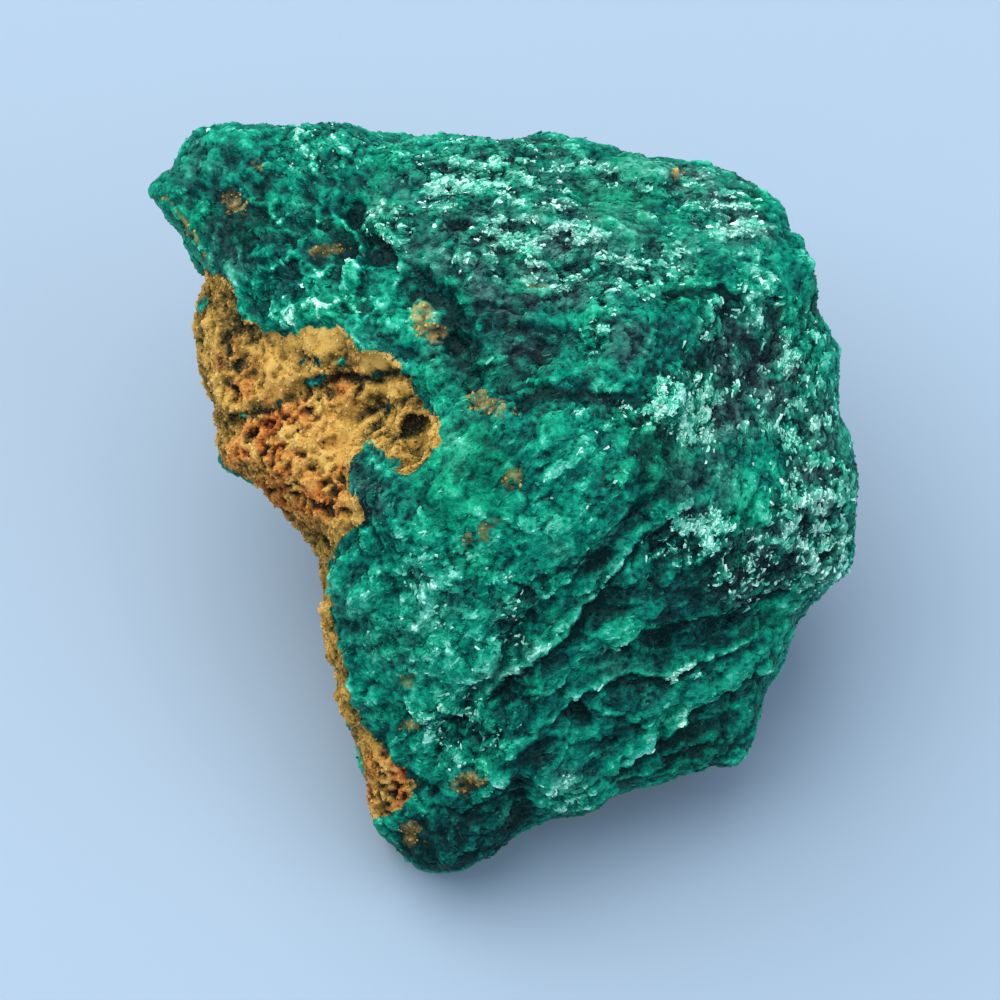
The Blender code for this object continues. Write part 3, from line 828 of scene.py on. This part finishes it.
# Ramps from the darkest tone, at 0, to the lightest, at 1
GREENS = [
    (0.00, (0, 30, 30)), (0.20, (0, 60, 56)), (0.40, (0, 105, 87)), (0.58, (6, 142, 110)),
    (0.74, (58, 172, 145)), (0.88, (138, 210, 189)), (1.00, (196, 236, 220)),
]
EMERALDS = [
    (0.00, (0, 33, 29)), (0.20, (0, 64, 53)), (0.40, (0, 109, 82)), (0.58, (8, 146, 107)),
    (0.74, (52, 174, 136)), (0.88, (132, 211, 182)), (1.00, (198, 236, 216)),
]
DULLS = [
    (0.00, (8, 22, 26)), (0.20, (22, 46, 50)), (0.40, (44, 80, 78)), (0.58, (66, 116, 106)),
    (0.74, (106, 156, 142)), (0.88, (156, 204, 188)), (1.00, (204, 234, 222)),
]
OCHRES = [
    (0.00, (24, 28, 18)), (0.20, (88, 75, 38)), (0.42, (141, 110, 50)), (0.66, (183, 145, 71)),
    (1.00, (200, 170, 98)),
]
REDS = [
    (0.00, (34, 16, 10)), (0.22, (100, 49, 22)), (0.45, (158, 86, 36)), (0.70, (180, 112, 48)),
    (1.00, (190, 134, 70)),
]
FLOOR_COLOUR = (138, 157, 174)
SPECKLE_SCALE, MOTTLE_SCALE = 2600.0, 600.0
GRIT_SCALE, BLOTCH_SCALE = 3200.0, 420.0
CRYSTAL_SCALE = 1500.0
BUMP_HEIGHT = 0.2 * MM


def srgb(red, green, blue):
    """An 8-bit screen colour as linear light."""
    values = np.array((red, green, blue)) / 255.0
    linear = np.where(values > 0.04045, ((values + 0.055) / 1.055) ** 2.4, values / 12.92)
    return (*linear, 1.0)


class Nodes:
    """A short way to add shader nodes and link them."""

    def __init__(self, name):
        self.material = bpy.data.materials.new(name)
        self.material.use_nodes = True
        self.tree = self.material.node_tree
        self.shader = self.tree.nodes["Principled BSDF"]

    def feed(self, node, inputs):
        """Links an output to each socket, or sets the socket's own value."""
        for socket, value in inputs.items():
            if hasattr(value, "is_output"):
                self.tree.links.new(value, node.inputs[socket])
            else:
                node.inputs[socket].default_value = value

    def add(self, kind, inputs, **settings):
        node = self.tree.nodes.new("ShaderNode" + kind)
        for key, value in settings.items():
            setattr(node, key, value)
        self.feed(node, inputs)
        return node

    def finished(self, inputs):
        """The material, with the shader's inputs fed."""
        self.feed(self.shader, inputs)
        return self.material

    def value(self, name):
        """A value that the mesh has at each point."""
        return self.add("Attribute", {}, attribute_name=name).outputs["Fac"]

    def maths(self, operation, a, b, clamp=False):
        return self.add("Math", {0: a, 1: b}, operation=operation, use_clamp=clamp).outputs[0]

    def swayed(self, value, noise, amount):
        """A value that noise moves up and down by half the amount."""
        return self.maths("ADD", value, self.maths("MULTIPLY", self.maths("SUBTRACT", noise, 0.5), amount))

    def blend(self, share, a, b):
        """Colour a turning to colour b; the Mix node keeps its colours in sockets 6, 7 and 2."""
        return self.add("Mix", {0: share, 6: a, 7: b}, data_type="RGBA").outputs[2]

    def ramp(self, share, stops):
        node = self.add("ValToRGB", {0: share})
        elements = node.color_ramp.elements
        while len(elements) < len(stops):
            elements.new(0.5)
        for element, (place, colour) in zip(elements, stops):
            element.position = place
            element.color = srgb(*colour)
        return node.outputs[0]

    def noise(self, scale, detail, roughness=0.6):
        place = self.add("TexCoord", {}).outputs["Object"]
        inputs = {"Vector": place, "Scale": scale, "Detail": detail, "Roughness": roughness}
        return self.add("TexNoise", inputs).outputs["Fac"]

    def green(self, tone):
        """Green by tone, emerald where the crust is lush and greyer where it is dull."""
        green = self.blend(self.value("lush"), self.ramp(tone, GREENS), self.ramp(tone, EMERALDS))
        return self.blend(self.value("dull"), green, self.ramp(tone, DULLS))

    def rust(self, tone):
        """Ochre by tone, redder where the matrix is red."""
        return self.blend(self.value("red"), self.ramp(tone, OCHRES), self.ramp(tone, REDS))


def crust_and_matrix():
    """Fibrous green crust and rusty matrix, told apart by the mesh's own values."""
    n = Nodes("malachite_crust")
    speckle, mottle = n.noise(SPECKLE_SCALE, 3.0, 0.65), n.noise(MOTTLE_SCALE, 4.0)
    grit, blotch = n.noise(GRIT_SCALE, 2.0, 0.7), n.noise(BLOTCH_SCALE, 3.0)
    tone = n.swayed(n.swayed(n.value("tone"), speckle, 0.75), mottle, 0.35)
    ochre = n.swayed(n.swayed(n.value("ochre"), grit, 0.7), blotch, 0.6)
    edge = n.swayed(n.swayed(n.value("rust"), mottle, 0.6), speckle, 0.6)
    share = n.add("MapRange", {"Value": edge, "From Min": 0.42, "From Max": 0.6}).outputs[0]
    share = n.maths("MULTIPLY", share, n.value("cover"))
    silk = n.maths("ADD", n.maths("MULTIPLY", mottle, 0.5), 0.2)
    height = n.maths("ADD", speckle, n.maths("MULTIPLY", mottle, 1.5))
    bump = n.add("Bump", {"Height": height, "Strength": 0.6, "Distance": BUMP_HEIGHT})
    return n.finished({
        "Base Color": n.blend(share, n.green(tone), n.rust(ochre)),
        "Roughness": n.maths("ADD", silk, n.maths("MULTIPLY", share, 0.4), clamp=True),
        "Specular IOR Level": 0.06,
        "Normal": bump.outputs[0],
    })


def crystal():
    """Small malachite crystals, each in its own tone."""
    n = Nodes("malachite_crystal")
    tone = n.swayed(n.value("tone"), n.noise(CRYSTAL_SCALE, 2.0), 0.25)
    return n.finished({"Base Color": n.green(tone), "Roughness": 0.36, "Specular IOR Level": 0.14})


def grain():
    """Grains of rust, from brown to yellow or red."""
    n = Nodes("limonite_grain")
    tone = n.swayed(n.value("tone"), n.noise(CRYSTAL_SCALE, 2.0), 0.3)
    return n.finished({"Base Color": n.rust(tone), "Roughness": 0.85, "Specular IOR Level": 0.2})


# The studio

FLOOR_REACH = 3.0
LENS = 200.0
CAMERA_DISTANCE = 0.47
CAMERA_CLIP = 0.01
KEY = {"place": (-0.36, 0.28, 0.92), "size": 1.6, "watts": 21.0, "colour": (1.0, 0.98, 0.94)}
FILL = {"place": (0.75, -0.30, 0.50), "size": 0.9, "watts": 4.0, "colour": (0.72, 0.86, 1.0)}
SKY = {"Color": (0.72, 0.82, 1.0, 1.0), "Strength": 0.79}


def floor():
    mesh = bpy.data.meshes.new("floor")
    corners = [(-1, -1), (1, -1), (1, 1), (-1, 1)]
    mesh.from_pydata([(FLOOR_REACH * x, FLOOR_REACH * y, 0.0) for x, y in corners], [], [(0, 1, 2, 3)])
    mesh.materials.append(Nodes("pale_floor").finished({"Base Color": srgb(*FLOOR_COLOUR), "Roughness": 0.7}))
    obj = shown("floor", mesh)


def aimed(name, data, place, way):
    """A lamp or a camera that looks the given way."""
    obj = shown(name, data)
    obj.location = place
    obj.rotation_euler = way.to_track_quat("-Z", "Y").to_euler()
    return obj


def area_light(name, place, size, watts, colour):
    data = bpy.data.lights.new(name, "AREA")
    data.shape = "DISK"
    data.size = size
    data.energy = watts
    data.color = colour
    aimed(name, data, place, -Vector(place))


def studio():
    area_light("key", **KEY)
    area_light("fill", **FILL)
    world = bpy.data.worlds.new("studio")
    world.use_nodes = True
    for socket, value in SKY.items():
        world.node_tree.nodes["Background"].inputs[socket].default_value = value
    bpy.context.scene.world = world
    bpy.context.scene.view_settings.view_transform = "Standard"


def camera():
    """From the show face's own side, so that the face is seen square on."""
    data = bpy.data.cameras.new("camera")
    data.lens = LENS
    data.clip_start = CAMERA_CLIP
    back = Vector(FACE_AXES[:, 2])
    target = Vector(LUMP_CENTRE) * MM
    bpy.context.scene.camera = aimed("camera", data, target + back * CAMERA_DISTANCE, -back)


def dressed(obj, material):
    obj.data.materials.append(material)
    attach(obj, "root")
    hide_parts(NODE)


camera()
floor()
studio()
body, zone = lump_body()
surface = Surface(body.data)
velvet, druse = crystals(surface, zone)
grains = rust_grains(surface, zone, **GRAINS)
thinned(body)
dressed(body, crust_and_matrix())
green = crystal()
dressed(velvet, green)
dressed(druse, green)
dressed(grains, grain())
